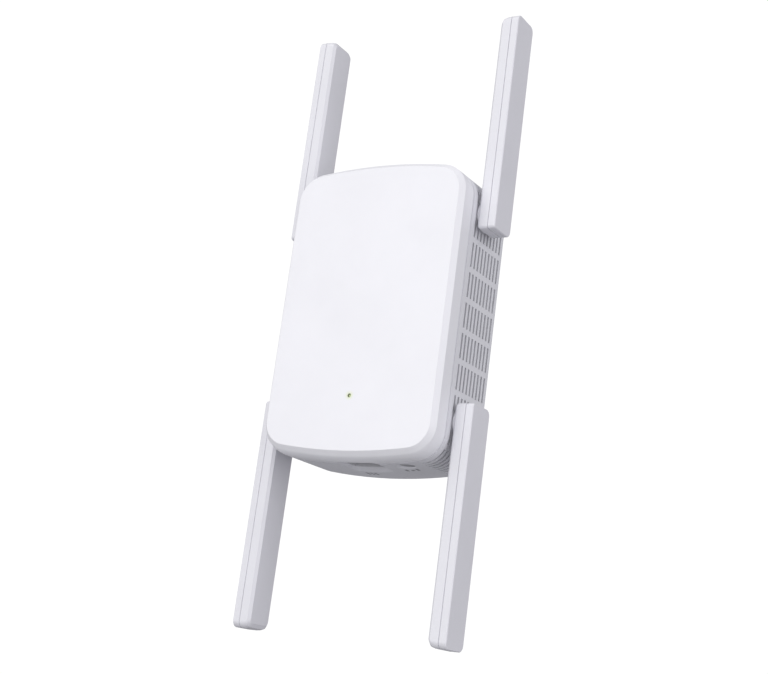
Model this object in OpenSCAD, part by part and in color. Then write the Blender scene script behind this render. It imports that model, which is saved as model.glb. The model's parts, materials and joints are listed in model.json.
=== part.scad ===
// Wall-plug wireless range extender with four swivelling blade antennas.
// The origin is the centre of the plug's engagement face. +Z is up, +X is to the right as seen
// from the front, the front of the case faces -Y and the plug's pins point along +Y.

/* [Case] */
// Width of the case
body_w = 72.8; // [71:0.1:76]
// Height of the case at its middle
body_h = 113.4; // [112:0.1:118]
// How far the top and bottom edges bulge at their middle
edge_bulge = 3.3; // [2.8:0.1:3.8]
// Radius of the case's corners
corner_r = 11; // [10:0.5:12]
// Depth of the case from its front face to its rear face
body_d = 38.1; // [38:0.1:40]
// Depth of the front cover from the front face to the parting line
cover_d = 8.7; // [8.5:0.1:9]
// Thickness of the case's walls
wall = 2; // [1.9:0.05:2.1]
// Radius of the rear edge
rear_edge_r = 3; // [2:0.5:3.5]
// Depth of the groove along the parting line
groove = 0.25; // [0.2:0.05:0.3]
// Width of that groove
groove_w = 0.9; // [0.5:0.1:1]

/* [Plug] */
// Height of the plug body from the rear face to the engagement face
plug_h = 17; // [17:0.5:18]
// Radius of the plug body
plug_r = 17.7; // [17.5:0.1:18]
// Radius of the mains pins
pin_r = 2.4; // [2.4:0.1:2.4]
// Free length of the mains pins
pin_l = 19; // [19:1:19]
// Distance between the pins' axes
pin_pitch = 19; // [19:1:19]

/* [Antennas] */
// Length of an antenna blade
blade_l = 85.8; // [80:0.2:90]
// Depth of a blade from front to back
blade_d = 13.1; // [12.5:0.1:13.5]
// Thickness of a blade
blade_t = 7.5; // [7.3:0.1:7.8]
// Thickness of the inner shell, from the body side to the seam
shell_t = 4.5; // [4.4:0.1:4.6]
// Radius of the blade's corners, seen from the side
blade_r = 2.5; // [2:0.1:3]
// Width of the bevel round the inner face
blade_bevel = 1; // [0.9:0.1:1.2]
// Distance of the hinge axis above the middle of the case
hinge_z = 39.25; // [39:0.05:39.5]
// Distance of the hinge axis behind the front face
hinge_depth = 18; // [17.8:0.1:18.2]
// Gap between the case's side and the blade
side_gap = 1; // [1:0.05:1.1]
// Radius of the hinge stub
stub_r = 3.9; // [3.85:0.01:3.92]
// Radius of the hinge bore in the case
hinge_bore_r = 3.97; // [3.97:0.005:3.98]

/* [Vents] */
// Distance between the columns of slots, front to back
slot_pitch = 2.58; // [2.5:0.01:2.62]
// Number of columns
slot_columns = 9; // [7:1:9]
// Width of a slot
slot_w = 1.15; // [1:0.05:1.3]
// Distance between the rows of slots
row_pitch = 11.5; // [11.4:0.1:11.6]
// Length of a slot
slot_l = 9.4; // [9:0.1:9.4]

/* [Port and button] */
// Distance of the network port to the right of the middle
port_x = 1.8; // [1:0.1:2]
// Distance of the network port behind the front face
port_depth = 13.8; // [13.7:0.1:14.2]
// Distance of the button to the right of the middle
button_x = 19.2; // [18.8:0.1:19.5]
// Distance of the button behind the front face
button_depth = 14.6; // [14.5:0.1:15]
// Radius of the button's cap
button_r = 2.9; // [2.9:0.01:2.94]
// Distance the button travels
button_travel = 0.5; // [0.3:0.1:0.5]

/* [Hidden] */
SIDES = ["left", "right"];
LEVELS = ["upper", "lower"];
ANTENNA_PIECES = ["outer_cap", "inner_shell", "radiator_strip", "retaining_clip"];
CASE_NODES = ["front_cover", "rear_housing", "plug_body", "rating_label", "button_cap", "light_pipe"];
POWER_NODES = ["line_pin", "neutral_pin", "pin_contacts", "power_board", "power_board_screws",
    "transformer", "input_capacitor", "output_capacitor", "bridge_rectifier", "fuse",
    "power_controller", "insulating_sheet", "power_leads"];
LOGIC_NODES = ["main_board", "main_board_screws", "processor", "thermal_pad", "heat_sink",
    "radio_chips", "shield_cans", "memory_chip", "lan_magnetics", "network_jack",
    "network_jack_contacts", "tact_switch", "switch_plunger", "status_led", "antenna_sockets"];
function antenna_node(side, level, piece) = str("antenna_", level, "_", side, "_", piece);
function lead_node(side, level) = str("coax_lead_", level, "_", side);
ANTENNA_NODES = [for (side = SIDES, level = LEVELS, piece = ANTENNA_PIECES)
    antenna_node(side, level, piece)];
LEAD_NODES = [for (side = SIDES, level = LEVELS) lead_node(side, level)];

white = [0.93, 0.93, 0.95];
off_white = [0.88, 0.88, 0.9];
nickel = [0.75, 0.75, 0.76];
board_green = [0.1, 0.35, 0.2];
black = [0.1, 0.1, 0.11];
copper = [0.72, 0.45, 0.28];

// Depths along Y, from the front to the wall
rear_y = -plug_h;
front_y = rear_y - body_d;
parting_y = front_y + cover_d;
inner_front_y = front_y + wall;
inner_rear_y = rear_y - wall;
hinge_y = front_y + hinge_depth;
port_y = front_y + port_depth;
button_y = front_y + button_depth;

// The case's outline: straight sides, bulging ends and round corners
half_w = body_w / 2;
half_h = body_h / 2;
bulge_r = (half_w * half_w + edge_bulge * edge_bulge) / (2 * edge_bulge);
bulge_z = half_h - bulge_r;
corner_x = half_w - corner_r;
corner_z = bulge_z + sqrt((bulge_r - corner_r) * (bulge_r - corner_r) - corner_x * corner_x);
corner_a = atan2(corner_z - bulge_z, corner_x);
corner_steps = 10;
bulge_steps = 10;

// Rings of the sloping edge round the front face, each with its depth behind the face, how far
// it is drawn in, and how far its bottom is drawn up
EDGE_RINGS = [[0, 1.7, 3.15], [1.6, 0.4, 1.5], [2.1, 0, 1.18], [3.6, 0, 0.38], [6, 0, 0],
    [6.02, 0, 0]];
face_round = 6.01;
// The underside's share of the rear edge's rounding
lower_rear_share = 0.35;

// Pins: the part held in the plug is thinner than the free end
pin_root_r = 2;
pin_shoulder = 0.1;
pin_relief_r = 2.45;
pin_relief_d = 0.5;

// Blades
blade_x = half_w + side_gap;
blade_tip_z = hinge_z - blade_d / 2 + blade_l;
blade_wall = 1.5;
blade_heel_r = 1.3;
seam = 0.13;
seam_depth = 0.3;
collar_r = 5.8;
collar_t = 0.6;
stub_end_x = half_w - wall - 2.5;
clip_x = half_w - wall - 1;
clip_t = 0.8;
groove_r = 3.2;
lead_bore_r = 2;
strip_w = 8;
strip_t = 0.8;
peg_r = 0.8;

// First column of slots, and the first of the slots that wrap the corners
first_slot_y = front_y + 12.75;
slot_rows = 3;
row_end_z = (slot_rows + 0.5) * row_pitch;
slot_cut = wall + 3;

// Boards
board_t = 1.6;
main_board_y = front_y + 8.2;
main_board_x = 31.5;
main_board_top_z = 47.5;
main_board_bottom_z = -51;
power_board_y = rear_y - 5.7;
power_board_x = 28;
power_board_z = 31;
post_r = 2.6;
post_x = 25;
post_z = 44.5;
short_post_x = 22;
short_post_z = 26;
pilot_r = 0.85;

// Network port
jack_w = 16;
jack_h = 13.5;
jack_l = 21;
jack_face_z = -half_h + 2.6;
plug_way_w = 11.8;
plug_way_h = 6.9;
latch_way_w = 6.2;
latch_way_h = 1.7;
port_low_y = port_y - 4.3;
port_mid_y = port_low_y + latch_way_h;
port_high_y = port_mid_y + plug_way_h;
recess_depth = 1.1;
recess_front_y = parting_y - 2.6;
recess_rear_y = port_high_y + 5.5;
port_hole_w = 13.2;

// Button
button_bore_r = 2.98;
button_top_z = -50.9;
button_sink = 0.4;
button_mouth = 0.6;
button_flare = 0.8;
button_guide_r = 4.1;

// Status light
led_z = -33.2;
pipe_r = 0.7;

function arc(x, y, r, a0, a1, n) =
    [for (i = [0:n]) let (a = a0 + (a1 - a0) * i / n) [x + r * cos(a), y + r * sin(a)]];
function inner_arc(x, y, r, a0, a1, n) =
    [for (i = [1:n - 1]) let (a = a0 + (a1 - a0) * i / n) [x + r * cos(a), y + r * sin(a)]];

// Outline of the case, drawn in by inset
function case_points(inset) = let (a = corner_a, r = corner_r - inset, R = bulge_r - inset)
    concat(
        arc(corner_x, corner_z, r, 0, a, corner_steps),
        inner_arc(0, bulge_z, R, a, 180 - a, bulge_steps),
        arc(-corner_x, corner_z, r, 180 - a, 180, corner_steps),
        arc(-corner_x, -corner_z, r, 180, 180 + a, corner_steps),
        inner_arc(0, -bulge_z, R, 180 + a, 360 - a, bulge_steps),
        arc(corner_x, -corner_z, r, 360 - a, 360, corner_steps));

// The same outline with its lower half squeezed, so that its bottom rises by a distance
function edge_points(inset, rise) = let (squeeze = (half_h - rise) / (half_h - inset))
    [for (p = case_points(inset)) [p[0], p[1] < 0 ? p[1] * squeeze : p[1]]];

function rounded_points(x0, y0, x1, y1, r, n) = concat(
    arc(x1 - r, y1 - r, r, 0, 90, n),
    arc(x0 + r, y1 - r, r, 90, 180, n),
    arc(x0 + r, y0 + r, r, 180, 270, n),
    arc(x1 - r, y0 + r, r, 270, 360, n));

// Height of the case's underside at a distance from the middle
function underside_z(x) = -bulge_z - sqrt(bulge_r * bulge_r - x * x);

// A point on a cubic curve between four control points
function curve_point(p, t) = let (u = 1 - t)
    u * u * u * p[0] + 3 * u * u * t * p[1] + 3 * u * t * t * p[2] + t * t * t * p[3];
function curve_points(p, n) = [for (i = [0:n]) curve_point(p, i / n)];
function unit(v) = v / norm(v);
function tangent(path, i) = let (last = len(path) - 1)
    unit(path[min(i + 1, last)] - path[max(i - 1, 0)]);
function ring(centre, along, r, n) = let (
    across = unit(cross(along, [0.31, 0.52, 0.8])),
    third = cross(along, across))
    [for (k = [0:n - 1]) centre + r * (cos(360 * k / n) * across + sin(360 * k / n) * third)];

// Round wire swept along a path
module wire(path, r) {
    n = 8;
    rings = len(path);
    points = [for (i = [0:rings - 1]) each ring(path[i], tangent(path, i), r, n)];
    sides = [for (i = [0:rings - 2], k = [0:n - 1], half = [0, 1])
        let (a = i * n + k, b = i * n + (k + 1) % n)
        half == 0 ? [a, b, b + n] : [a, b + n, a + n]];
    ends = [[for (k = [n - 1:-1:0]) k], [for (k = [0:n - 1]) (rings - 1) * n + k]];
    polyhedron(points, concat(sides, ends));
}

// A flat shape drawn in X and Z, from y0 to y1
module plate(y0, y1) {
    translate([0, y1, 0]) rotate([90, 0, 0]) linear_extrude(y1 - y0) children();
}

// A flat shape drawn in Y and Z, from x0 to x1
module slab(x0, x1) {
    translate([x0, 0, 0]) rotate([90, 0, 90]) linear_extrude(x1 - x0) children();
}

module case_plate(y0, y1, inset) {
    plate(y0, y1) polygon(case_points(inset));
}

// A box between two corners
module block(low, high) {
    translate(low) cube(high - low);
}

// A round bar along Y, X or Z
module bar_y(x, z, y0, y1, r) {
    translate([x, y0, z]) rotate([-90, 0, 0]) cylinder(h = y1 - y0, r = r, $fn = 48);
}
module bar_x(y, z, x0, x1, r) {
    translate([x0, y, z]) rotate([0, 90, 0]) cylinder(h = x1 - x0, r = r, $fn = 48);
}
module bar_z(x, y, z0, z1, r) {
    translate([x, y, z0]) cylinder(h = z1 - z0, r = r, $fn = 48);
}

// The same thing at all four corners of a rectangle in X and Z
module at_corners(x, z) {
    for (sx = [-1, 1], sz = [-1, 1]) translate([sx * x, 0, sz * z]) children();
}

// Moves a piece built at the upper right to another antenna
module antenna_place(side, level) {
    mirror([side == "left" ? 1 : 0, 0, 0]) mirror([0, 0, level == "lower" ? 1 : 0]) children();
}

// ---- Case ----

hook_z = 20;
hook_w = 8;

module snap_hook() {
    block([half_w - wall - 1.8, inner_front_y - 0.5, -hook_w / 2],
        [half_w - wall - 0.6, parting_y + 4.2, hook_w / 2]);
    block([half_w - wall - 0.7, parting_y + 3.2, -hook_w / 2],
        [half_w - wall - 0.1, parting_y + 4.2, hook_w / 2]);
}

// The face and the sloping edge round it, from one ring to the next
module front_edge() {
    n = len(case_points(0));
    last = len(EDGE_RINGS) - 1;
    polyhedron(
        points = [for (ring = EDGE_RINGS, p = edge_points(ring[1], ring[2]))
            [p[0], front_y + ring[0], p[1]]],
        faces = concat(
            [[for (i = [n - 1:-1:0]) i]],
            [[for (i = [0:n - 1]) last * n + i]],
            [for (k = [0:last - 1], i = [0:n - 1])
                [k * n + i, k * n + (i + 1) % n, (k + 1) * n + (i + 1) % n]],
            [for (k = [0:last - 1], i = [0:n - 1])
                [k * n + i, (k + 1) * n + (i + 1) % n, (k + 1) * n + i]]));
}

module front_cover() {
    color(white) difference() {
        union() {
            difference() {
                union() {
                    front_edge();
                    case_plate(front_y + face_round, parting_y - groove_w / 2, 0);
                    case_plate(parting_y - groove_w / 2, parting_y, groove);
                    case_plate(parting_y - 1, parting_y + 1.8, 1.1);
                }
                case_plate(inner_front_y, parting_y + 2, wall);
                case_plate(parting_y, parting_y + 2, wall - 0.05);
                block([port_x - 9, parting_y, -half_h - 1], [port_x + 9, parting_y + 2, -half_h + 6]);
            }
            for (side = [0, 1], z = [-hook_z, hook_z])
                mirror([side, 0, 0]) translate([0, 0, z]) snap_hook();
            bar_y(0, led_z, front_y + 1, inner_front_y + 2, 1.8);
        }
        bar_y(0, led_z, front_y - 1, inner_front_y + 3, pipe_r + 0.05);
        port_recess();
    }
}

module slot_columns_at() {
    for (i = [0:slot_columns - 1]) {
        y = first_slot_y + i * slot_pitch;
        translate([0, y, 0]) children();
    }
}

// One column of straight slots on the right side
module side_slots() {
    for (row = [-slot_rows:slot_rows])
        block([half_w - slot_cut, -slot_w / 2, row * row_pitch - slot_l / 2],
            [half_w + 1, slot_w / 2, row * row_pitch + slot_l / 2]);
}

// A slot that follows the upper right corner, between two angles
module corner_slot(a0, a1) {
    plate(-slot_w / 2, slot_w / 2) polygon(concat(
        arc(corner_x, corner_z, corner_r + 1, a0, a1, 6),
        arc(corner_x, corner_z, corner_r - slot_cut, a1, a0, 6)));
}

module corner_slots() {
    slot_gap = (row_pitch - slot_l) / 2;
    block([half_w - slot_cut, -slot_w / 2, row_end_z + slot_gap],
        [half_w + 1, slot_w / 2, corner_z + 0.01]);
    corner_slot(0, 20);
    corner_slot(31, 85);
}

module vents() {
    difference() {
        slot_columns_at() {
            for (side = [0, 1]) mirror([side, 0, 0]) {
                side_slots();
                for (level = [0, 1]) mirror([0, 0, level]) corner_slots();
            }
        }
        for (side = [0, 1], z = [-hinge_z, hinge_z])
            mirror([side, 0, 0]) bar_x(hinge_y, z, half_w - slot_cut - 1, half_w + 2, collar_r + 0.4);
    }
}

// The recess round the network port, with sloping sides and a ramp at its rear
module port_recess() {
    x0 = port_x - 8.7;
    x1 = port_x + 8.7;
    slope = 0.5;
    ramp = 3.4;
    hull() {
        translate([0, 0, -half_h - 1])
            linear_extrude(1)
                polygon(rounded_points(x0, recess_front_y, x1, recess_rear_y, 3, 5));
        translate([0, 0, -half_h + recess_depth - 0.1]) linear_extrude(0.1)
            polygon(rounded_points(x0 + slope, recess_front_y + 0.1,
                x1 - slope, recess_rear_y - ramp, 2.6, 5));
    }
}

// The way into the network port
module port_way(z0, z1) {
    block([port_x - plug_way_w / 2, port_mid_y, z0],
        [port_x + plug_way_w / 2, port_high_y, z1]);
    block([port_x - latch_way_w / 2, port_low_y, z0],
        [port_x + latch_way_w / 2, port_mid_y + 0.01, z1]);
}

module rear_housing() {
    label_pocket = 0.2;
    color(off_white) difference() {
        union() {
            difference() {
                union() {
                    case_plate(parting_y, parting_y + groove_w / 2, groove);
                    case_plate(parting_y + groove_w / 2, rear_y - rear_edge_r, 0);
                    hull() for (a = [0:15:90]) {
                        y = rear_y - rear_edge_r + rear_edge_r * sin(a);
                        inset = rear_edge_r * (1 - cos(a));
                        plate(y - 0.02, y)
                            polygon(edge_points(inset, inset * lower_rear_share));
                    }
                }
                case_plate(parting_y - 1, inner_rear_y, wall);
                case_plate(parting_y - 1, parting_y + 2, 1.05);
            }
            at_corners(post_x, post_z) bar_y(0, 0, main_board_y, inner_rear_y + 0.5, post_r);
            for (s = [-1, 1])
                bar_y(s * short_post_x, -s * short_post_z, power_board_y + board_t, inner_rear_y + 0.5,
                    post_r);
            for (side = [0, 1], z = [-hook_z, hook_z]) mirror([side, 0, 0])
                block([half_w - wall - 0.5, parting_y + 2.2, z - hook_w / 2],
                    [half_w - wall + 0.5, parting_y + 3.1, z + hook_w / 2]);
            bar_z(button_x, button_y, underside_z(button_x) + 1.2, button_top_z - 0.85, button_guide_r);
            block([port_x - 9.5, parting_y + 2.1, -half_h + 1.8],
                [port_x + 9.5, port_high_y + 8, jack_face_z - 0.1]);
        }
        vents();
        port_recess();
        block([port_x - port_hole_w / 2, port_low_y - 0.3, -half_h - 1],
            [port_x + port_hole_w / 2, port_high_y + 0.3, jack_face_z + 1]);
        bar_z(button_x, button_y, -half_h - 1, -half_h + 6, button_bore_r);
        translate([button_x, button_y, underside_z(button_x) - 0.5])
            cylinder(h = button_mouth + 0.5, r2 = button_bore_r, $fn = 48,
                r1 = button_bore_r + button_flare * (button_mouth + 0.5) / button_mouth);
        for (side = [0, 1], z = [-hinge_z, hinge_z])
            mirror([side, 0, 0]) bar_x(hinge_y, z, half_w - 5, half_w + 2, hinge_bore_r);
        bar_y(0, 0, inner_rear_y - 1, rear_y + 1, plug_r + 0.1);
        at_corners(post_x, post_z) bar_y(0, 0, main_board_y - 1, main_board_y + 8, pilot_r);
        for (s = [-1, 1])
            bar_y(s * short_post_x, -s * short_post_z, power_board_y, rear_y - 0.8, pilot_r);
        plate(rear_y - label_pocket, rear_y + 1)
            polygon(rounded_points(-22.2, -49.2, 22.2, -24.8, 2, 4));
    }
}

module rating_label() {
    color([0.85, 0.86, 0.88]) plate(rear_y - 0.2, rear_y - 0.05)
        polygon(rounded_points(-22, -49, 22, -25, 2, 4));
}

module button_cap() {
    color(off_white) union() {
        bar_z(button_x, button_y, underside_z(button_x) + button_sink, button_top_z, button_r);
        bar_z(button_x, button_y, button_top_z - 0.8, button_top_z, button_bore_r + 0.9);
    }
}

module light_pipe() {
    color([0.75, 0.9, 0.35]) union() {
        bar_y(0, led_z, front_y + 0.1, main_board_y - board_t - 1, pipe_r);
        bar_y(0, led_z, inner_front_y + 2, inner_front_y + 2.8, 1.5);
    }
}

// ---- Plug and power ----

module plug_body() {
    notch_d = 2.6;
    color(off_white) difference() {
        union() {
            bar_y(0, 0, inner_rear_y - 2, inner_rear_y, plug_r + 2.8);
            bar_y(0, 0, inner_rear_y - 0.5, -0.8, plug_r);
            translate([0, -0.8, 0]) rotate([-90, 0, 0])
                cylinder(h = 0.8, r1 = plug_r, r2 = plug_r - 0.8, $fn = 48);
        }
        difference() {
            bar_y(0, 0, inner_rear_y - 3, -5, 13.5);
            for (s = [-1, 1]) bar_y(s * pin_pitch / 2, 0, -12, -4, 4.2);
        }
        for (s = [-1, 1]) {
            bar_y(s * pin_pitch / 2, 0, -13, 1, pin_root_r + 0.01);
            bar_y(s * pin_pitch / 2, 0, -pin_relief_d, 1, pin_relief_r);
            block([s * plug_r - notch_d, rear_y + 3, -3], [s * plug_r + notch_d, 1, 3]);
            block([-3, rear_y + 3, s * plug_r - notch_d], [3, 1, s * plug_r + notch_d]);
        }
    }
}

module mains_pin(x) {
    tip_l = 1.6;
    color(nickel) union() {
        bar_y(x, 0, -16, pin_shoulder, pin_root_r);
        bar_y(x, 0, pin_shoulder, pin_l - tip_l, pin_r);
        translate([x, pin_l - tip_l, 0]) rotate([-90, 0, 0])
            cylinder(h = tip_l, r1 = pin_r, r2 = pin_r - 1.1, $fn = 48);
    }
}

module line_pin() {
    mains_pin(-pin_pitch / 2);
}

module neutral_pin() {
    mains_pin(pin_pitch / 2);
}

module pin_contacts() {
    back_y = power_board_y + board_t;
    color(copper) for (s = [-1, 1]) translate([s * pin_pitch / 2, 0, 0]) {
        block([-3.2, back_y, -2.5], [3.2, back_y + 0.6, 2.5]);
        for (side = [0, 1]) mirror([side, 0, 0])
            block([pin_root_r + 0.01, back_y, -2], [pin_root_r + 0.6, -12.6, 2]);
    }
}

module power_board() {
    color(board_green) difference() {
        plate(power_board_y, power_board_y + board_t)
            polygon(rounded_points(-power_board_x, -power_board_z, power_board_x, power_board_z, 2, 4));
        for (s = [-1, 1]) bar_y(s * short_post_x, -s * short_post_z, power_board_y - 1,
            power_board_y + board_t + 1, 1.2);
    }
}

// A small pan-head screw whose head bears on a board's front face
module board_screw(x, z, board_y, shank_l) {
    bar_y(x, z, board_y, board_y + shank_l, pilot_r);
    difference() {
        bar_y(x, z, board_y - 1.3, board_y, 1.9);
        block([x - 1.2, board_y - 2, z - 0.25], [x + 1.2, board_y - 0.7, z + 0.25]);
        block([x - 0.25, board_y - 2, z - 1.2], [x + 0.25, board_y - 0.7, z + 1.2]);
    }
}

module power_board_screws() {
    color(nickel) for (s = [-1, 1])
        board_screw(s * short_post_x, -s * short_post_z, power_board_y, 4);
}

module transformer() {
    y = power_board_y;
    color([0.85, 0.72, 0.2]) union() {
        block([-22, y - 1.5, -15], [-4, y, 3]);
        block([-22, y - 12, -13], [-4, y - 10, 1]);
        block([-20, y - 10.5, -13.5], [-6, y - 1, 1.5]);
        block([-22, y - 10.5, -10], [-4, y - 1, -2]);
    }
}

module input_capacitor() {
    color([0.15, 0.2, 0.4]) union() {
        bar_x(power_board_y - 5, 20, 0, 15, 5);
        bar_x(power_board_y - 5, 20, 15, 16, 4.4);
        block([-1, power_board_y - 5.4, 17], [0, power_board_y, 23]);
    }
}

module output_capacitor() {
    color([0.15, 0.15, 0.17]) bar_y(12, -19, power_board_y - 11, power_board_y, 4);
}

module bridge_rectifier() {
    color(black) block([-22, power_board_y - 3, 10], [-13, power_board_y, 17]);
}

module fuse() {
    color([0.8, 0.78, 0.7]) union() {
        bar_x(power_board_y - 2, 26, -17, -6, 1.7);
        bar_x(power_board_y - 2, 26, -17.6, -15, 2);
        bar_x(power_board_y - 2, 26, -8, -5.4, 2);
    }
}

module power_controller() {
    color(black) block([6, power_board_y - 1.6, -4], [11, power_board_y, 0]);
}

module insulating_sheet() {
    top_y = power_board_y - 12;
    color([0.95, 0.9, 0.6]) plate(top_y - 0.3, top_y)
        polygon(rounded_points(-29, -32, 29, 32, 2, 4));
}

// Supply wires from the power board, round the insulating sheet, to the main board
module power_leads() {
    for (i = [0, 1]) {
        x = -18 + 4 * i;
        color(i == 0 ? [0.75, 0.1, 0.1] : black) wire(concat(
            curve_points([[x, power_board_y - 0.1, -28], [x, power_board_y - 6, -28],
                [x, power_board_y - 6, -35.5], [x, power_board_y - 11, -35.5]], 10),
            curve_points([[x, power_board_y - 13, -35.5], [x, power_board_y - 18, -35.5],
                [x, main_board_y + 6, -34], [x, main_board_y + 0.1, -34]], 10)), 0.7);
    }
}

// ---- Main board ----

module main_board() {
    y0 = main_board_y - board_t;
    color(board_green) difference() {
        plate(y0, main_board_y) polygon(rounded_points(
            -main_board_x, main_board_bottom_z, main_board_x, main_board_top_z, 6, 6));
        at_corners(post_x, post_z) bar_y(0, 0, y0 - 1, main_board_y + 1, 1.2);
    }
}

module main_board_screws() {
    color(nickel) at_corners(post_x, post_z) board_screw(0, 0, main_board_y - board_t, 6);
}

chip_x = -7;
chip_z = 4;
chip_h = 1.2;
pad_h = 0.5;

module processor() {
    color(black) block([chip_x - 7, main_board_y, chip_z - 7],
        [chip_x + 7, main_board_y + chip_h, chip_z + 7]);
}

module thermal_pad() {
    color([0.6, 0.65, 0.75]) block([chip_x - 6.5, main_board_y + chip_h, chip_z - 6.5],
        [chip_x + 6.5, main_board_y + chip_h + pad_h, chip_z + 6.5]);
}

module heat_sink() {
    base_y = main_board_y + chip_h + pad_h;
    fins = 7;
    size = 20;
    color([0.7, 0.71, 0.73]) union() {
        block([chip_x - size / 2, base_y, chip_z - size / 2],
            [chip_x + size / 2, base_y + 1.6, chip_z + size / 2]);
        for (i = [0:fins - 1]) {
            x = chip_x - size / 2 + i * (size - 1) / (fins - 1);
            block([x, base_y + 1, chip_z - size / 2], [x + 1, base_y + 7, chip_z + size / 2]);
        }
    }
}

// The two radio sections, mirrored about the middle
module radio_chips() {
    color(black) for (s = [-1, 1])
        block([s * 12 - 4, main_board_y, 26], [s * 12 + 4, main_board_y + 0.9, 34]);
}

module shield_cans() {
    can_h = 2.4;
    skin = 0.3;
    color(nickel) for (s = [-1, 1]) difference() {
        block([s * 12 - 9.5, main_board_y, 21], [s * 12 + 9.5, main_board_y + can_h, 38]);
        block([s * 12 - 9.5 + skin, main_board_y - 1, 21 + skin],
            [s * 12 + 9.5 - skin, main_board_y + can_h - skin, 38 - skin]);
    }
}

module memory_chip() {
    color(black) block([10, main_board_y, -1], [20, main_board_y + 1.1, 9]);
}

module lan_magnetics() {
    color(black) block([port_x - 7.5, main_board_y, -30], [port_x + 7.5, main_board_y + 5, -21]);
}

module network_jack() {
    low_y = main_board_y;
    low_z = jack_face_z;
    way_l = 14;
    color(black) difference() {
        block([port_x - jack_w / 2, low_y, low_z], [port_x + jack_w / 2, low_y + jack_h, low_z + jack_l]);
        port_way(low_z - 1, low_z + way_l);
        for (i = [0:7]) block([contact_x(i) - 0.25, port_high_y - 0.1, low_z + 3],
            [contact_x(i) + 0.25, port_high_y + 0.9, low_z + way_l]);
    }
}

function contact_x(i) = port_x + (i - 3.5) * 1.02;

// Eight spring contacts that lean into the jack's cavity
module network_jack_contacts() {
    color([0.85, 0.68, 0.25]) for (i = [0:7])
        slab(contact_x(i) - 0.15, contact_x(i) + 0.15) polygon([
            [port_high_y + 0.8, jack_face_z + 4],
            [port_high_y + 0.5, jack_face_z + 4],
            [port_high_y - 1, jack_face_z + 12.5],
            [port_high_y - 0.7, jack_face_z + 12.7]]);
}

module tact_switch() {
    back_y = button_y + 2.6;
    color(black) difference() {
        block([button_x - 3, main_board_y, button_top_z + 1.8], [button_x + 3, back_y, button_top_z + 5.6]);
        bar_z(button_x, button_y, button_top_z + 1, button_top_z + 3.6, 1.78);
    }
}

module switch_plunger() {
    color([0.8, 0.8, 0.8]) bar_z(button_x, button_y, button_top_z, button_top_z + 2.9, 1.7);
}

module status_led() {
    y = main_board_y - board_t;
    color([0.9, 0.95, 0.6]) block([-0.8, y - 0.8, led_z - 0.5], [0.8, y, led_z + 0.5]);
}

socket_x = 24;
socket_z = 33;
socket_h = 1.3;

module antenna_sockets() {
    color([0.8, 0.7, 0.4]) at_corners(socket_x, socket_z) union() {
        block([-1.3, main_board_y, -1.3], [1.3, main_board_y + 0.6, 1.3]);
        bar_y(0, 0, main_board_y + 0.5, main_board_y + socket_h, 1);
    }
}

// Coax lead from a socket to the hinge, then out along the hinge axis
module coax_lead() {
    start_y = main_board_y + socket_h + 0.1;
    color(black) wire(concat(
        curve_points([[socket_x, start_y, socket_z], [socket_x, start_y + 5, socket_z],
            [socket_x + 2, hinge_y, hinge_z], [socket_x + 7, hinge_y, hinge_z]], 12),
        [[half_w - 1, hinge_y, hinge_z], [blade_x + 1, hinge_y, hinge_z]]), 0.6);
}

// ---- Antennas, built at the upper right ----

// Side view of a blade, drawn in by inset, and by tip_inset at its free end
module blade_profile(inset, tip_inset = 0) {
    y0 = hinge_y - blade_d / 2 + inset;
    y1 = hinge_y + blade_d / 2 - inset;
    z0 = hinge_z - blade_d / 2 + inset;
    z1 = blade_tip_z - max(inset, tip_inset);
    r = max(blade_r - inset, 0.6);
    heel_r = max(blade_heel_r - inset, 0.5);
    polygon(concat(
        arc(y1 - r, z1 - r, r, 0, 90, 6),
        arc(y0 + r, z1 - r, r, 90, 180, 6),
        arc(y0 + heel_r, z0 + heel_r, heel_r, 180, 270, 4),
        arc(y1 - r, z0 + r, r, 270, 360, 6)));
}

module inner_shell() {
    seam_x = blade_x + shell_t;
    floor_x = blade_x + blade_wall;
    color(white) difference() {
        union() {
            difference() {
                union() {
                    hull() {
                        slab(blade_x, blade_x + 0.05) blade_profile(blade_bevel, 2);
                        slab(blade_x + blade_bevel, blade_x + blade_bevel + 0.05)
                            blade_profile(0, 0.55);
                        slab(blade_x + 2.4, blade_x + 2.45) blade_profile(0, 0.12);
                        slab(blade_x + 3.5, seam_x - seam) blade_profile(0);
                    }
                    slab(seam_x - seam - 0.1, seam_x) blade_profile(seam_depth);
                }
                slab(floor_x, seam_x) blade_profile(blade_wall, 3);
                slab(seam_x - 1.1, seam_x + 1) blade_profile(blade_wall);
            }
            bar_x(hinge_y, hinge_z, blade_x - collar_t, blade_x + 0.5, collar_r);
            bar_x(hinge_y, hinge_z, stub_end_x, blade_x + 0.5, stub_r);
            for (z = [hinge_z + 12, blade_tip_z - 14])
                bar_x(hinge_y, z, floor_x - 0.2, floor_x + 1.4, peg_r);
        }
        bar_x(hinge_y, hinge_z, stub_end_x - 1, floor_x + 1, lead_bore_r);
        difference() {
            bar_x(hinge_y, hinge_z, clip_x - 0.05, clip_x + clip_t + 0.05, stub_r + 1);
            bar_x(hinge_y, hinge_z, clip_x - 0.1, clip_x + clip_t + 0.1, groove_r);
        }
    }
}

module outer_cap() {
    seam_x = blade_x + shell_t;
    end_x = blade_x + blade_t;
    edge = 0.3;
    color(white) difference() {
        union() {
            slab(seam_x, seam_x + seam + 0.1) blade_profile(seam_depth);
            slab(seam_x + seam, end_x - edge) blade_profile(0);
            hull() {
                slab(end_x - edge - 0.02, end_x - edge) blade_profile(0);
                slab(end_x - 0.02, end_x) blade_profile(edge);
            }
            slab(seam_x - 1, seam_x + 0.5) blade_profile(blade_wall + 0.05);
        }
        slab(seam_x - 2, end_x - blade_wall) blade_profile(blade_wall + 0.65);
    }
}

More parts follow.
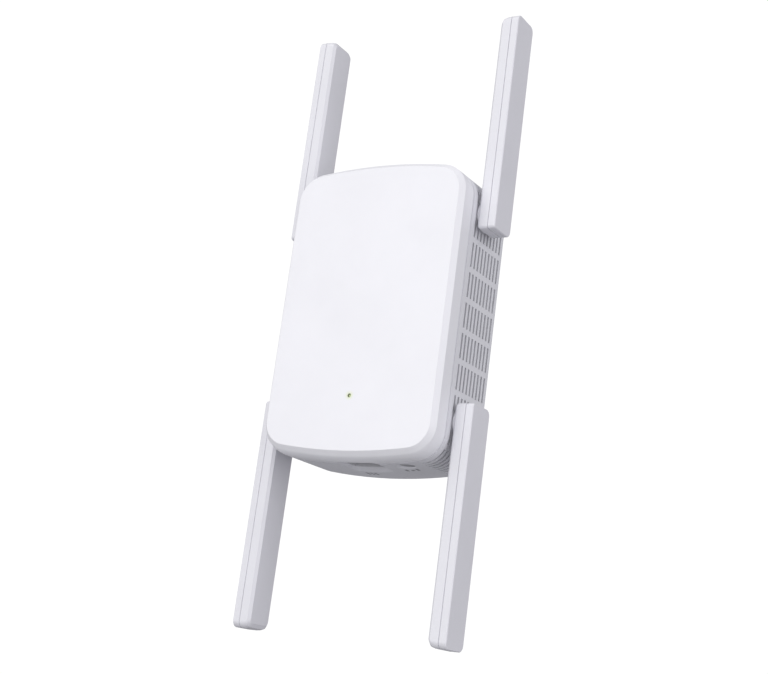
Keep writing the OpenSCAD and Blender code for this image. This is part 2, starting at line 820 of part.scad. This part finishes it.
module radiator_strip() {
    x = blade_x + blade_wall;
    color([0.2, 0.45, 0.25]) difference() {
        slab(x, x + strip_t) polygon(rounded_points(hinge_y - strip_w / 2, hinge_z + 4,
            hinge_y + strip_w / 2, blade_tip_z - 4, 0.6, 3));
        for (z = [hinge_z + 12, blade_tip_z - 14])
            bar_x(hinge_y, z, x - 1, x + strip_t + 1, peg_r + 0.05);
    }
}

// Spring ring in the stub's groove, open on one side
module retaining_clip() {
    color(nickel) difference() {
        bar_x(hinge_y, hinge_z, clip_x, clip_x + clip_t, 5.2);
        bar_x(hinge_y, hinge_z, clip_x - 1, clip_x + clip_t + 1, groove_r + 0.02);
        block([clip_x - 1, hinge_y - 2, hinge_z], [clip_x + clip_t + 1, hinge_y + 2, hinge_z + 8]);
    }
}

module antenna_piece(piece) {
    if (piece == "outer_cap") outer_cap();
    if (piece == "inner_shell") inner_shell();
    if (piece == "radiator_strip") radiator_strip();
    if (piece == "retaining_clip") retaining_clip();
}

front_cover();
rear_housing();
plug_body();
rating_label();
button_cap();
light_pipe();
line_pin();
neutral_pin();
pin_contacts();
power_board();
power_board_screws();
transformer();
input_capacitor();
output_capacitor();
bridge_rectifier();
fuse();
power_controller();
insulating_sheet();
power_leads();
main_board();
main_board_screws();
processor();
thermal_pad();
heat_sink();
radio_chips();
shield_cans();
memory_chip();
lan_magnetics();
network_jack();
network_jack_contacts();
tact_switch();
switch_plunger();
status_led();
antenna_sockets();
for (side = SIDES, level = LEVELS) {
    antenna_place(side, level) coax_lead();
    for (piece = ANTENNA_PIECES)
        antenna_place(side, level) antenna_piece(piece);
}
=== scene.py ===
import json
import math
import bmesh
import bpy
from mathutils import Matrix, Vector


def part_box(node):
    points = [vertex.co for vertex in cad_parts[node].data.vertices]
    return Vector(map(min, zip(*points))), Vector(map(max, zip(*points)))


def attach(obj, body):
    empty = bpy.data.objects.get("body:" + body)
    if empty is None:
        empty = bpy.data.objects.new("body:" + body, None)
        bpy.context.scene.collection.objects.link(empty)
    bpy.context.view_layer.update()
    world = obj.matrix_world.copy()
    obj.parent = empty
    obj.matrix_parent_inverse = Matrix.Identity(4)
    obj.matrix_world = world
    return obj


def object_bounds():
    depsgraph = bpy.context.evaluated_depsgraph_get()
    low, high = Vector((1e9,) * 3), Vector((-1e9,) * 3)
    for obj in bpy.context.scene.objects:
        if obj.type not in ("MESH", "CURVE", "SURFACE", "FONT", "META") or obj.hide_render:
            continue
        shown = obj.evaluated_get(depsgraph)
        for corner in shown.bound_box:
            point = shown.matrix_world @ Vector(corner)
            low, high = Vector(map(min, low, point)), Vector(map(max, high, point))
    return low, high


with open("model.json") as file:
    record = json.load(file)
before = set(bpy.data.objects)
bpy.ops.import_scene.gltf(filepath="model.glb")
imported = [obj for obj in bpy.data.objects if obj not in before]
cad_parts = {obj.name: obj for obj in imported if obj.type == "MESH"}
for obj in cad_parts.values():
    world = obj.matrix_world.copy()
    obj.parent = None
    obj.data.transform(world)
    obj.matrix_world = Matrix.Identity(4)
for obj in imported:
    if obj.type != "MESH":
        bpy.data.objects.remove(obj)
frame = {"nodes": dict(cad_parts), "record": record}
cad_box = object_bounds()
scene = bpy.context.scene
nodes = frame["nodes"]

MM = 0.001

# ---- Camera ----

CAMERA_AT = Vector((278.58, -481.84, -138.02)) * MM
CAMERA_AZIMUTH = math.radians(32.05)
CAMERA_ELEVATION = math.radians(-14.11)
CAMERA_ROLL = math.radians(-7.61)
CAMERA_LENS = 67.415
SENSOR_WIDTH = 36
NEAREST_SEEN = 0.01
FARTHEST_SEEN = 20


def make_camera():
    """A camera below the case's middle, to its right, tilted a little."""
    forward = Vector((
        -math.sin(CAMERA_AZIMUTH) * math.cos(CAMERA_ELEVATION),
        math.cos(CAMERA_AZIMUTH) * math.cos(CAMERA_ELEVATION),
        -math.sin(CAMERA_ELEVATION)))
    level_right = forward.cross(Vector((0, 0, 1))).normalized()
    level_up = level_right.cross(forward)
    up = math.cos(CAMERA_ROLL) * level_up + math.sin(CAMERA_ROLL) * level_right
    right = forward.cross(up)
    data = bpy.data.cameras.new("camera")
    data.lens = CAMERA_LENS
    data.sensor_width = SENSOR_WIDTH
    data.clip_start = NEAREST_SEEN
    data.clip_end = FARTHEST_SEEN
    camera = bpy.data.objects.new("camera", data)
    axes = Matrix((right, up, -forward)).transposed()
    camera.matrix_world = Matrix.Translation(CAMERA_AT) @ axes.to_4x4()
    scene.collection.objects.link(camera)
    scene.camera = camera


make_camera()


# ---- Parts of a material ----

# A noise value seldom leaves this range, so it is what gets stretched.
NOISE_LOW = 0.3
NOISE_HIGH = 0.7


def new_material(name):
    material = bpy.data.materials.new(name)
    material.use_nodes = True
    tree = material.node_tree
    return material, tree.nodes, tree.links, tree.nodes["Principled BSDF"]


def object_place(tree_nodes):
    """The place on the piece itself, so that a pattern moves with the piece."""
    return tree_nodes.new("ShaderNodeTexCoord").outputs["Object"]


def noise(tree_nodes, links, coordinates, scale, detail):
    node = tree_nodes.new("ShaderNodeTexNoise")
    node.inputs["Scale"].default_value = scale
    node.inputs["Detail"].default_value = detail
    links.new(coordinates, node.inputs["Vector"])
    return node.outputs["Fac"]


def ranged(tree_nodes, links, value, low, high):
    """Turns a noise value into a number between low and high."""
    node = tree_nodes.new("ShaderNodeMapRange")
    node.inputs["From Min"].default_value = NOISE_LOW
    node.inputs["From Max"].default_value = NOISE_HIGH
    node.inputs["To Min"].default_value = low
    node.inputs["To Max"].default_value = high
    links.new(value, node.inputs["Value"])
    return node.outputs["Result"]


def mixed(tree_nodes, links, factor, low, high):
    """A colour between low, at nought, and high, at one."""
    mix = tree_nodes.new("ShaderNodeMix")
    mix.data_type = "RGBA"
    mix.inputs["A"].default_value = low
    mix.inputs["B"].default_value = high
    links.new(factor, mix.inputs["Factor"])
    return mix


def bumped(tree_nodes, links, shader, height, strength, depth):
    """Roughens a surface by a height pattern, its depth in mm."""
    bump = tree_nodes.new("ShaderNodeBump")
    bump.inputs["Strength"].default_value = strength
    bump.inputs["Distance"].default_value = depth * MM
    links.new(height, bump.inputs["Height"])
    links.new(bump.outputs["Normal"], shader.inputs["Normal"])


def opaque(colour, share=1):
    """A colour with its alpha, darkened to a share of itself."""
    return (*[c * share for c in colour], 1)


def closeness(tree_nodes, links, where, point, reach):
    """One at a point, falling to nought at a distance from it."""
    distance = tree_nodes.new("ShaderNodeVectorMath")
    distance.operation = "DISTANCE"
    distance.inputs[1].default_value = point
    links.new(where, distance.inputs[0])
    fall = tree_nodes.new("ShaderNodeMapRange")
    fall.interpolation_type = "SMOOTHSTEP"
    fall.inputs["From Min"].default_value = 0
    fall.inputs["From Max"].default_value = reach
    fall.inputs["To Min"].default_value = 1
    fall.inputs["To Max"].default_value = 0
    links.new(distance.outputs["Value"], fall.inputs["Value"])
    return fall.outputs["Result"]


# ---- Kinds of material ----

MOTTLE_SCALE = 45
MOTTLE_DETAIL = 3
GRAIN_DETAIL = 2
GRAIN_STRENGTH = 0.35
PLASTIC_GLOSS_SPREAD = 0.04


def plastic(name, colour, roughness, grain=0.0005, depth=0.03, shade=0.03, specular=0.5):
    """Moulded plastic: fine spark-eroded grain, faint mottling and uneven gloss."""
    material, tree_nodes, links, shader = new_material(name)
    where = object_place(tree_nodes)
    mottle = noise(tree_nodes, links, where, MOTTLE_SCALE, MOTTLE_DETAIL)
    fine = noise(tree_nodes, links, where, 1 / grain, GRAIN_DETAIL)
    factor = ranged(tree_nodes, links, mottle, 0, 1)
    mix = mixed(tree_nodes, links, factor, opaque(colour, 1 - shade), opaque(colour))
    links.new(mix.outputs["Result"], shader.inputs["Base Color"])
    smoothest = roughness - PLASTIC_GLOSS_SPREAD
    roughest = roughness + PLASTIC_GLOSS_SPREAD
    links.new(ranged(tree_nodes, links, mottle, smoothest, roughest), shader.inputs["Roughness"])
    bumped(tree_nodes, links, shader, fine, GRAIN_STRENGTH, depth)
    shader.inputs["Specular IOR Level"].default_value = specular
    return material


LINE_SCALE = 900
LINE_DETAIL = 3
LINE_STRENGTH = 0.2
LINE_DEPTH = 0.01
TARNISH_SCALE = 160
TARNISH_DETAIL = 3
TARNISH_SHARE = 0.86
SMOOTHEST_METAL = 0.7
ROUGHEST_METAL = 1.4


def metal(name, colour, roughness, brushed=(1, 1, 1)):
    """Plated or drawn metal with fine lines, faint tarnish and uneven gloss."""
    material, tree_nodes, links, shader = new_material(name)
    where = object_place(tree_nodes)
    mapping = tree_nodes.new("ShaderNodeMapping")
    mapping.inputs["Scale"].default_value = brushed
    links.new(where, mapping.inputs["Vector"])
    lines = noise(tree_nodes, links, mapping.outputs["Vector"], LINE_SCALE, LINE_DETAIL)
    smoothest = roughness * SMOOTHEST_METAL
    roughest = roughness * ROUGHEST_METAL
    links.new(ranged(tree_nodes, links, lines, smoothest, roughest), shader.inputs["Roughness"])
    tarnish = noise(tree_nodes, links, where, TARNISH_SCALE, TARNISH_DETAIL)
    factor = ranged(tree_nodes, links, tarnish, 0, 1)
    mix = mixed(tree_nodes, links, factor, opaque(colour, TARNISH_SHARE), opaque(colour))
    links.new(mix.outputs["Result"], shader.inputs["Base Color"])
    shader.inputs["Metallic"].default_value = 1
    bumped(tree_nodes, links, shader, lines, LINE_STRENGTH, LINE_DEPTH)
    return material


TRACK_SCALE = 260
TRACK_GAP = 0.03
TRACK_STRENGTH = 0.3
TRACK_DEPTH = 0.03
RESIST_DARK = (0.012, 0.075, 0.035)
RESIST_LIGHT = (0.016, 0.095, 0.045)
RESIST_OVER_COPPER = (0.03, 0.17, 0.07)
RESIST_SCALE = 900
RESIST_DETAIL = 2
RESIST_GLOSS = (0.3, 0.45)


def board(name):
    """Green solder resist over faint copper tracks."""
    material, tree_nodes, links, shader = new_material(name)
    where = object_place(tree_nodes)
    tracks = tree_nodes.new("ShaderNodeTexBrick")
    tracks.inputs["Scale"].default_value = TRACK_SCALE
    tracks.inputs["Color1"].default_value = opaque(RESIST_DARK)
    tracks.inputs["Color2"].default_value = opaque(RESIST_LIGHT)
    tracks.inputs["Mortar"].default_value = opaque(RESIST_OVER_COPPER)
    tracks.inputs["Mortar Size"].default_value = TRACK_GAP
    mapping = tree_nodes.new("ShaderNodeMapping")
    mapping.inputs["Rotation"].default_value = (math.pi / 2, 0, 0)
    links.new(where, mapping.inputs["Vector"])
    links.new(mapping.outputs["Vector"], tracks.inputs["Vector"])
    links.new(tracks.outputs["Color"], shader.inputs["Base Color"])
    fine = noise(tree_nodes, links, where, RESIST_SCALE, RESIST_DETAIL)
    links.new(ranged(tree_nodes, links, fine, *RESIST_GLOSS), shader.inputs["Roughness"])
    bumped(tree_nodes, links, shader, tracks.outputs["Fac"], TRACK_STRENGTH, TRACK_DEPTH)
    return material


LENS_SHARE = 0.12
LENS_SCALE = 1500
LENS_DETAIL = 2
LENS_GLOSS = (0.15, 0.3)
CORE_REACH = 0.75 * MM


def glowing(name, colour, strength, core):
    """Dark tinted lens, lit round its core."""
    material, tree_nodes, links, shader = new_material(name)
    where = object_place(tree_nodes)
    cloud = noise(tree_nodes, links, where, LENS_SCALE, LENS_DETAIL)
    links.new(ranged(tree_nodes, links, cloud, *LENS_GLOSS), shader.inputs["Roughness"])
    shader.inputs["Base Color"].default_value = opaque(colour, LENS_SHARE)
    shader.inputs["Emission Color"].default_value = opaque(colour)
    power = tree_nodes.new("ShaderNodeMath")
    power.operation = "MULTIPLY"
    power.inputs[1].default_value = strength
    links.new(closeness(tree_nodes, links, where, core, CORE_REACH), power.inputs[0])
    links.new(power.outputs["Value"], shader.inputs["Emission Strength"])
    return material


def painted_glow_round(material, point, colour, reach):
    """Paints the glow of the light behind the shell into its colour round a point: painted light."""
    tree = material.node_tree
    shader = tree.nodes["Principled BSDF"]
    base = shader.inputs["Base Color"].links[0].from_socket
    near = closeness(tree.nodes, tree.links, object_place(tree.nodes), point, reach)
    mix = mixed(tree.nodes, tree.links, near, opaque(colour), opaque(colour))
    tree.links.new(base, mix.inputs["A"])
    tree.links.new(mix.outputs["Result"], shader.inputs["Base Color"])


# ---- The part's materials ----

pipe_low, pipe_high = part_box("light_pipe")
LIGHT_FACE = Vector(((pipe_low.x + pipe_high.x) / 2, pipe_low.y, (pipe_low.z + pipe_high.z) / 2))
# The lit core sits low on the lens's right, so that its upper left stays dark: painted shade from the
# rim of its hole.
LIGHT_CORE = LIGHT_FACE + Vector((0.3, 0, -0.15)) * MM
LIGHT_COLOUR = (0.72, 0.86, 0.42)
LIGHT_STRENGTH = 0.75
# Painted light: the light's glow, painted into the shell's colour round its face.
PAINTED_GLOW_TINT = (0.80, 0.86, 0.58)
PAINTED_GLOW_REACH = 2.2 * MM

# Colour, roughness and, where they aren't the usual ones: size of the grain in metres,
# its depth in mm, how much darker the mottling gets, and the strength of the gloss.
PLASTICS = {
    "white_shell": dict(colour=(0.91, 0.908, 0.942), roughness=0.42),
    "off_white_shell": dict(colour=(0.80, 0.80, 0.835), roughness=0.5),
    "antenna_white": dict(colour=(0.80, 0.797, 0.838), roughness=0.42, grain=0.0006, depth=0.02),
    "plug_white": dict(colour=(0.74, 0.74, 0.76), roughness=0.48),
    "label": dict(colour=(0.62, 0.63, 0.66), roughness=0.35, grain=0.0009, depth=0.01),
    # The button cap is darkened to a mid grey as painted shade, for the shade down in its well.
    "button_white": dict(colour=(0.36, 0.36, 0.38), roughness=0.4, grain=0.0006, depth=0.02),
    "grey_ink": dict(
        colour=(0.30, 0.30, 0.32), roughness=0.5, grain=0.0004, depth=0.005, shade=0.1, specular=0.3),
    "black_package": dict(
        colour=(0.02, 0.02, 0.022), roughness=0.5, grain=0.0004, depth=0.02, shade=0.3),
    "jack_plastic": dict(
        colour=(0.055, 0.055, 0.06), roughness=0.4, grain=0.0006, depth=0.01, shade=0.2),
    "transformer_tape": dict(
        colour=(0.62, 0.42, 0.03), roughness=0.3, grain=0.002, depth=0.05, shade=0.15),
    "capacitor_sleeve": dict(
        colour=(0.02, 0.03, 0.08), roughness=0.3, grain=0.002, depth=0.02, shade=0.2),
    "fuse_ceramic": dict(
        colour=(0.66, 0.62, 0.50), roughness=0.25, grain=0.001, depth=0.01, shade=0.1),
    "insulator": dict(
        colour=(0.72, 0.62, 0.26), roughness=0.3, grain=0.003, depth=0.03, shade=0.1),
    "thermal_pad": dict(
        colour=(0.30, 0.36, 0.48), roughness=0.7, grain=0.0008, depth=0.04, shade=0.2),
    "lead_black": dict(
        colour=(0.015, 0.015, 0.016), roughness=0.45, grain=0.0008, depth=0.02, shade=0.3),
    "lead_red": dict(
        colour=(0.32, 0.012, 0.01), roughness=0.4, grain=0.0008, depth=0.02, shade=0.2),
    "led_body": dict(
        colour=(0.7, 0.78, 0.35), roughness=0.25, grain=0.0008, depth=0.01, shade=0.1),
}

# Colour, roughness and, where the metal is drawn, how its lines are stretched.
METALS = {
    "nickel": dict(colour=(0.66, 0.64, 0.60), roughness=0.22, brushed=(1, 0.05, 1)),
    "spring_steel": dict(colour=(0.50, 0.50, 0.52), roughness=0.3),
    "contact_bronze": dict(colour=(0.62, 0.38, 0.20), roughness=0.3),
    "contact_gold": dict(colour=(0.85, 0.62, 0.22), roughness=0.2),
    "fin_aluminium": dict(colour=(0.62, 0.63, 0.65), roughness=0.32, brushed=(1, 1, 0.05)),
}

FINISHES = {name: plastic(name, **look) for name, look in PLASTICS.items()}
FINISHES.update({name: metal(name, **look) for name, look in METALS.items()})
FINISHES["board_green"] = board("board_green")
FINISHES["light_pipe"] = glowing("light_pipe", LIGHT_COLOUR, LIGHT_STRENGTH, LIGHT_CORE)
# The white shell gets the light's painted glow round the lens.
painted_glow_round(FINISHES["white_shell"], LIGHT_FACE, PAINTED_GLOW_TINT, PAINTED_GLOW_REACH)


# ---- Carried-over nodes ----

# The housing's finer angle keeps the ramp behind its port sharp.
SMOOTH_BELOW = 28
HOUSING_SMOOTH_BELOW = 15.7
SAME_POINT = 0.002
SAME_PLANE = 0.4
SHARP_EDGE = 22
LARGE_FACES_FIRST = 100
EDGE_WIDTH = 0.05
EDGE_WIDTHS = {"front_cover": 0.15, "rear_housing": 0.06, "plug_body": 0.3, "button_cap": 0.15}
EDGE_SEGMENTS = 2
BLADE_SHELLS = ("outer_cap", "inner_shell")
BLADE_EDGE_WIDTH = 0.2
BLADE_EDGE_SEGMENTS = 3


def smooth_group(name, degrees):
    """Shades a mesh smooth, but for edges sharper than an angle."""
    group = bpy.data.node_groups.new(name, "GeometryNodeTree")
    group.interface.new_socket("Geometry", in_out="INPUT", socket_type="NodeSocketGeometry")
    group.interface.new_socket("Geometry", in_out="OUTPUT", socket_type="NodeSocketGeometry")
    start = group.nodes.new("NodeGroupInput")
    end = group.nodes.new("NodeGroupOutput")
    angle = group.nodes.new("GeometryNodeInputMeshEdgeAngle")
    compare = group.nodes.new("FunctionNodeCompare")
    compare.data_type = "FLOAT"
    compare.operation = "LESS_EQUAL"
    compare.inputs["B"].default_value = math.radians(degrees)
    faces = group.nodes.new("GeometryNodeSetShadeSmooth")
    edges = group.nodes.new("GeometryNodeSetShadeSmooth")
    edges.domain = "EDGE"
    group.links.new(angle.outputs["Unsigned Angle"], compare.inputs["A"])
    group.links.new(start.outputs["Geometry"], faces.inputs["Geometry"])
    group.links.new(faces.outputs["Geometry"], edges.inputs["Geometry"])
    group.links.new(compare.outputs["Result"], edges.inputs["Shade Smooth"])
    group.links.new(edges.outputs["Geometry"], end.inputs["Geometry"])
    return group


SMOOTH = smooth_group("smooth", SMOOTH_BELOW)
SMOOTH_FINE = smooth_group("smooth_fine", HOUSING_SMOOTH_BELOW)


def soften(thing, width, segments=EDGE_SEGMENTS, shading=SMOOTH):
    """Rounds a piece's edges by a width in mm, as a mould or a press leaves them."""
    weld = thing.modifiers.new("weld", "WELD")
    weld.merge_threshold = SAME_POINT * MM
    flat = thing.modifiers.new("flatten", "DECIMATE")
    flat.decimate_type = "DISSOLVE"
    flat.angle_limit = math.radians(SAME_PLANE)
    bevel = thing.modifiers.new("edges", "BEVEL")
    bevel.width = width * MM
    bevel.segments = segments
    bevel.limit_method = "ANGLE"
    bevel.angle_limit = math.radians(SHARP_EDGE)
    bevel.use_clamp_overlap = True
    shade = thing.modifiers.new("shade", "NODES")
    shade.node_group = shading
    even = thing.modifiers.new("even", "WEIGHTED_NORMAL")
    even.keep_sharp = True
    even.weight = LARGE_FACES_FIRST


for entry in frame["record"]["subparts"]:
    thing = nodes[entry["node"]]
    thing.data.materials.clear()
    thing.data.materials.append(FINISHES[entry["material_slot"]])

for name, thing in nodes.items():
    if name.endswith(BLADE_SHELLS):
        soften(thing, BLADE_EDGE_WIDTH, BLADE_EDGE_SEGMENTS)
    else:
        shading = SMOOTH_FINE if name == "rear_housing" else SMOOTH
        soften(thing, EDGE_WIDTHS.get(name, EDGE_WIDTH), shading=shading)


# ---- Printed marks under the case ----

case_low, case_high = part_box("rear_housing")
EDGE_BULGE = 3.3 * MM
ARCH_RADIUS = (case_high.x ** 2 + EDGE_BULGE ** 2) / (2 * EDGE_BULGE)
INK_THICKNESS = 0.02 * MM

# Plain bars, in mm: place to the right, place to the rear, width, length.
PORT_BARS = ((-1.8, 0, 0.9, 3.4), (0, 0.9, 0.9, 1.6), (0, -1.1, 0.9, 1.2), (1.8, 0, 0.9, 3.4))
BUTTON_BARS = ((-2.2, 0, 1.0, 2.6), (0, 0.6, 1.2, 1.4), (2.2, 0, 1.0, 2.6))

# Where each mark's middle is, in mm: to the right of its piece's middle, behind its piece.
PORT_MARK_AT = (-4.2, 5.2)
BUTTON_MARK_AT = (-1.2, 2.4)


def underside(x):
    """Height and slope of the arched underside at a distance from its middle."""
    fall = math.sqrt(ARCH_RADIUS ** 2 - x ** 2)
    return case_low.z + ARCH_RADIUS - fall, math.atan2(x, fall)


def printed_mark(name, low, high, offset, bars):
    """Thin bars of ink on the underside, set off from the box of a piece."""
    at_x = (low.x + high.x) / 2 + offset[0] * MM
    at_y = high.y + offset[1] * MM
    mesh = bpy.data.meshes.new(name)
    shape = bmesh.new()
    for x, y, width, length in bars:
        centre_x = at_x + x * MM
        height, slope = underside(centre_x)
        place = Matrix.Translation((centre_x, at_y + y * MM, height - INK_THICKNESS / 2))
        turn = Matrix.Rotation(-slope, 4, "Y")
        size = Matrix.Diagonal((width * MM, length * MM, INK_THICKNESS, 1))
        bmesh.ops.create_cube(shape, size=1, matrix=place @ turn @ size)
    shape.to_mesh(mesh)
    shape.free()
    mark = bpy.data.objects.new(name, mesh)
    mesh.materials.append(FINISHES["grey_ink"])
    scene.collection.objects.link(mark)
    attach(mark, "case")


jack_low, jack_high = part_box("network_jack")
cap_low, cap_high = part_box("button_cap")
printed_mark("port_mark", jack_low, jack_high, PORT_MARK_AT, PORT_BARS)
printed_mark("button_mark", cap_low, cap_high, BUTTON_MARK_AT, BUTTON_BARS)


# ---- Stage ----

FLOOR_RADIUS = 9
FLOOR_SEGMENTS = 128
FLOOR_DROP = 0.7
FLOOR_SEEN = (0.85, 0.85, 0.86)
FLOOR_BOUNCED = (0.44, 0.44, 0.455)
FLOOR_SCALE = 3
FLOOR_DETAIL = 2
FLOOR_GLOSS = (0.75, 0.85)

WORLD_SEEN = (1, 1, 1)
WORLD_SEEN_STRENGTH = 1.05
WORLD_LIT = (0.97, 0.97, 1)
WORLD_LIT_STRENGTH = 0.42

NEUTRAL = (1, 1, 1)
FAINT_VIOLET = (0.97, 0.96, 1)

# Each light's name, place, width and height, power and colour. All face the part's middle.
LIGHTS = (
    ("key_softbox", (-1.6, -2.9, 2.9), (2.8, 2.8), 62, NEUTRAL),
    ("front_softbox", (-0.25, -1.6, 0.05), (1.2, 1.0), 9, NEUTRAL),
    ("right_softbox", (1.5, -0.5, 0.2), (1.0, 1.4), 9.5, FAINT_VIOLET),
)


def floor_finish():
    """Pale grey floor, which bounces less light than it shows to the camera."""
    material, tree_nodes, links, shader = new_material("floor")
    cloud = noise(tree_nodes, links, object_place(tree_nodes), FLOOR_SCALE, FLOOR_DETAIL)
    links.new(ranged(tree_nodes, links, cloud, *FLOOR_GLOSS), shader.inputs["Roughness"])
    seen = tree_nodes.new("ShaderNodeLightPath").outputs["Is Camera Ray"]
    mix = mixed(tree_nodes, links, seen, opaque(FLOOR_BOUNCED), opaque(FLOOR_SEEN))
    links.new(mix.outputs["Result"], shader.inputs["Base Color"])
    return material


def make_floor():
    """A wide disc, well below the part and the lights."""
    mesh = bpy.data.meshes.new("floor")
    shape = bmesh.new()
    bmesh.ops.create_circle(shape, cap_ends=True, radius=FLOOR_RADIUS, segments=FLOOR_SEGMENTS)
    shape.to_mesh(mesh)
    shape.free()
    floor = bpy.data.objects.new("floor", mesh)
    floor.location = (0, 0, cad_box[0].z - FLOOR_DROP)
    mesh.materials.append(floor_finish())
    scene.collection.objects.link(floor)


def area_light(name, at, size, power, colour):
    data = bpy.data.lights.new(name, "AREA")
    data.shape = "RECTANGLE"
    data.size = size[0]
    data.size_y = size[1]
    data.energy = power
    data.color = colour
    light = bpy.data.objects.new(name, data)
    light.location = at
    light.rotation_mode = "QUATERNION"
    light.rotation_quaternion = (-Vector(at)).to_track_quat("-Z", "Y")
    scene.collection.objects.link(light)


def background(tree, colour, strength):
    node = tree.nodes.new("ShaderNodeBackground")
    node.inputs["Color"].default_value = opaque(colour)
    node.inputs["Strength"].default_value = strength
    return node.outputs["Background"]


def make_world():
    """White all round to the camera, and softer as a light."""
    world = bpy.data.worlds.new("studio")
    world.use_nodes = True
    tree = world.node_tree
    tree.nodes.clear()
    path = tree.nodes.new("ShaderNodeLightPath")
    mix = tree.nodes.new("ShaderNodeMixShader")
    out = tree.nodes.new("ShaderNodeOutputWorld")
    tree.links.new(path.outputs["Is Camera Ray"], mix.inputs["Fac"])
    tree.links.new(background(tree, WORLD_LIT, WORLD_LIT_STRENGTH), mix.inputs[1])
    tree.links.new(background(tree, WORLD_SEEN, WORLD_SEEN_STRENGTH), mix.inputs[2])
    tree.links.new(mix.outputs["Shader"], out.inputs["Surface"])
    scene.world = world


make_floor()
make_world()
for light in LIGHTS:
    area_light(*light)
scene.view_settings.view_transform = "Standard"
